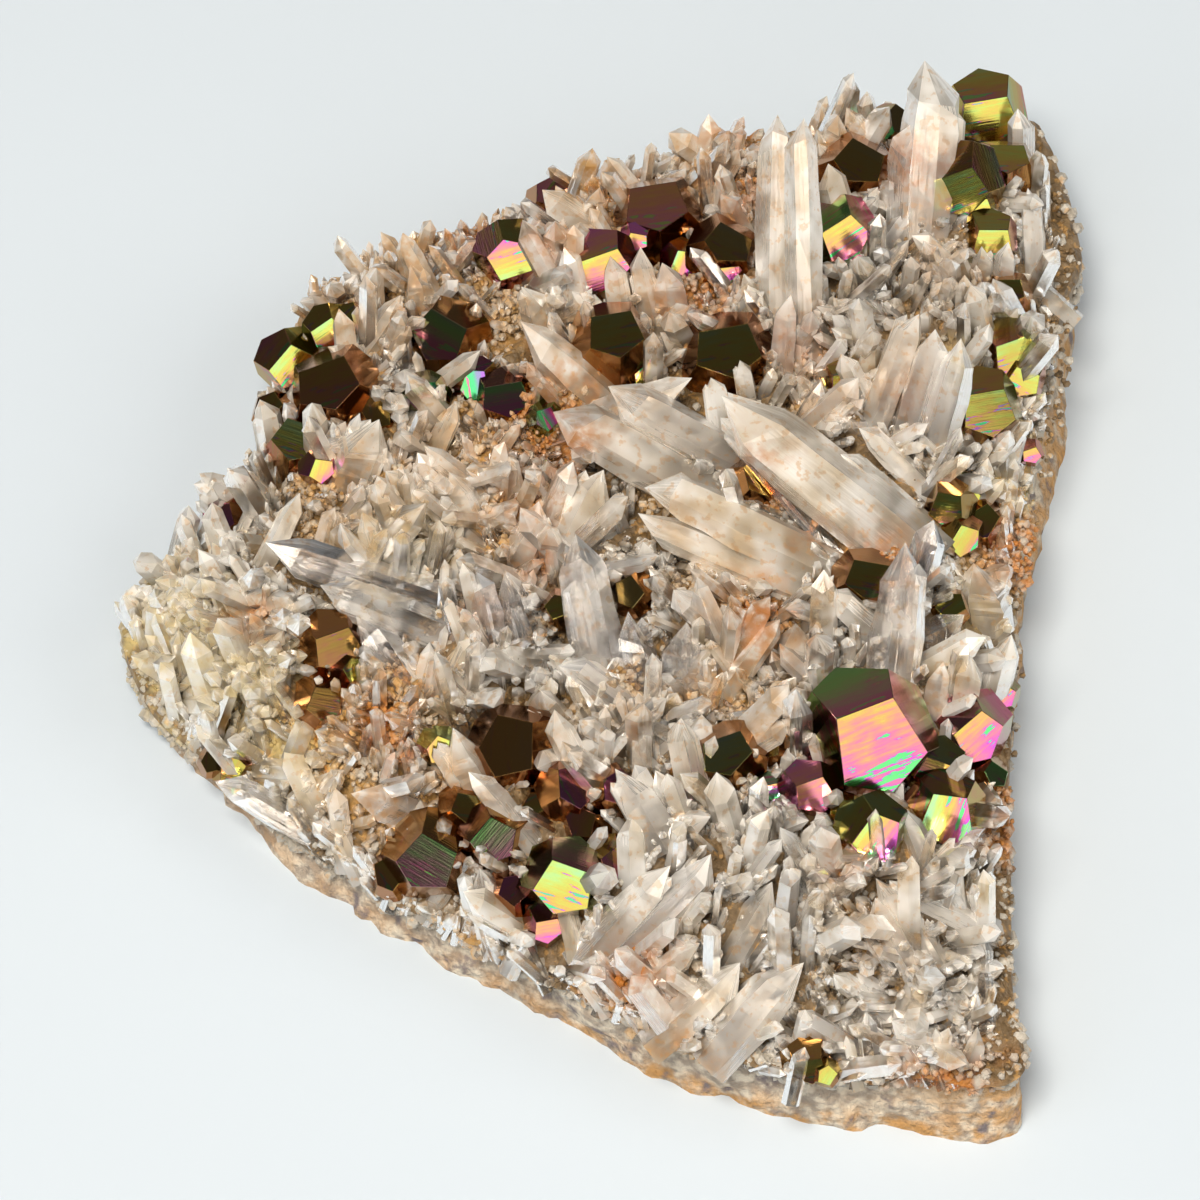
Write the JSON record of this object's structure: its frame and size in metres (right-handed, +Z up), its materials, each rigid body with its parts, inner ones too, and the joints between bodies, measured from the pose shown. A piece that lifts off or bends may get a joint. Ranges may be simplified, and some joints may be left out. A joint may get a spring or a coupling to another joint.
{
  "type": "rainbow pyrite specimen",
  "caption": "Hand-sized plate of rock crusted with quartz needles and blades, with iridescent pyrite crystals seated among them; it lies on its flat back.",
  "frame": {"origin": "on the plane of the flat back, under the middle of the specimen's bounding box", "axes": "+Z up through the crust; +X to the nearly straight long side; +Y to the edge with the tall twin crystal"},
  "size_m": [0.0988, 0.1238, 0.0311],
  "materials": {
    "rock": "broken and granular, stained ochre and rust",
    "quartz": "glassy crystal faces, clear to milky, stained honey and tan at the roots",
    "pyrite": "mirror-bright metal under a thin iridescent film"
  },
  "bodies": {
    "root": {"rock": "rock", "quartz": "quartz", "pyrite_large_cluster": "pyrite", "pyrite_right_pink": "pyrite", "pyrite_middle_pair": "pyrite", "pyrite_centre_pair": "pyrite", "pyrite_front_left_pair": "pyrite", "pyrite_front_trio": "pyrite", "pyrite_left_bronze_pair": "pyrite", "pyrite_left_edge": "pyrite", "pyrite_left_rim": "pyrite", "pyrite_left_brown_pair": "pyrite", "pyrite_left_lime_pair": "pyrite", "pyrite_hollow_trio": "pyrite", "pyrite_hollow_banded": "pyrite", "pyrite_back_bright": "pyrite", "pyrite_back_pair": "pyrite", "pyrite_back_black": "pyrite", "pyrite_back_right_pink": "pyrite", "pyrite_back_right_black": "pyrite", "pyrite_back_rim": "pyrite", "pyrite_corner_gold": "pyrite", "pyrite_corner_trio": "pyrite", "pyrite_rim_olive": "pyrite", "pyrite_rim_gold": "pyrite", "pyrite_side_gold": "pyrite", "pyrite_side_pair": "pyrite", "pyrite_middle_brown": "pyrite", "pyrite_middle_dark": "pyrite", "pyrite_middle_spark": "pyrite", "pyrite_rust_nest": "pyrite", "pyrite_middle_slate": "pyrite", "pyrite_front_wall": "pyrite"}
  },
  "joints": []
}
